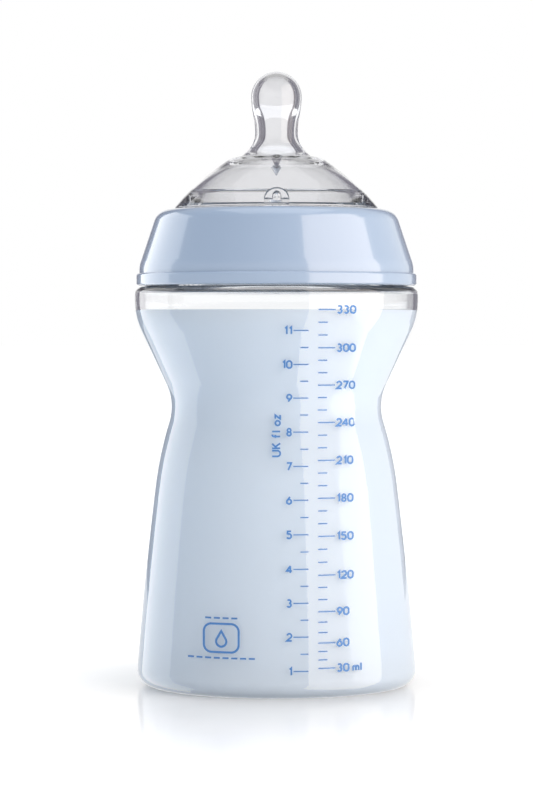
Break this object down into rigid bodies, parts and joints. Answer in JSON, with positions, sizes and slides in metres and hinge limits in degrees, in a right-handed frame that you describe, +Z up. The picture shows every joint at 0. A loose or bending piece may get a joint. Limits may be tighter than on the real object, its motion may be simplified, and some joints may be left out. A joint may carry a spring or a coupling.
{
  "type": "baby bottle",
  "caption": "Wide-neck waisted feeding bottle in clear plastic with printed scales, a pale blue screw collar and a clear silicone teat.",
  "frame": {"origin": "centre of the foot, on the plane the bottle stands on", "axes": "+Z up along the bottle's axis, through the teat; the printed scales face -Y; +X is to the right of someone reading them"},
  "size_m": [0.0772, 0.0772, 0.1675],
  "materials": {
    "clear_plastic": "clear, glossy polypropylene",
    "blue_plastic": "glossy moulded polypropylene",
    "silicone": "clear, smooth liquid silicone",
    "print_ink": "screen-printed ink",
    "milk": "liquid milk"
  },
  "bodies": {
    "bottle": {"bottle": "clear_plastic", "ml_scale": "print_ink", "ounce_scale": "print_ink", "care_mark": "print_ink"},
    "teat": {"teat": "silicone"},
    "screw_collar": {"screw_collar": "blue_plastic"}
  },
  "joints": [
    {"name": "teat_rise", "type": "slide", "parent": "bottle", "child": "teat", "axis": [0, 0, 1], "range_m": [0, 0.012]},
    {"name": "collar_turn", "type": "hinge", "parent": "teat", "child": "screw_collar", "pos_m": [0, 0, 0.12], "axis": [0, 0, 1], "range_deg": [0, 540]}
  ],
  "couplings": [
    {"joint": "teat_rise", "follows": "collar_turn", "m_per_rad": 0.0012732}
  ]
}
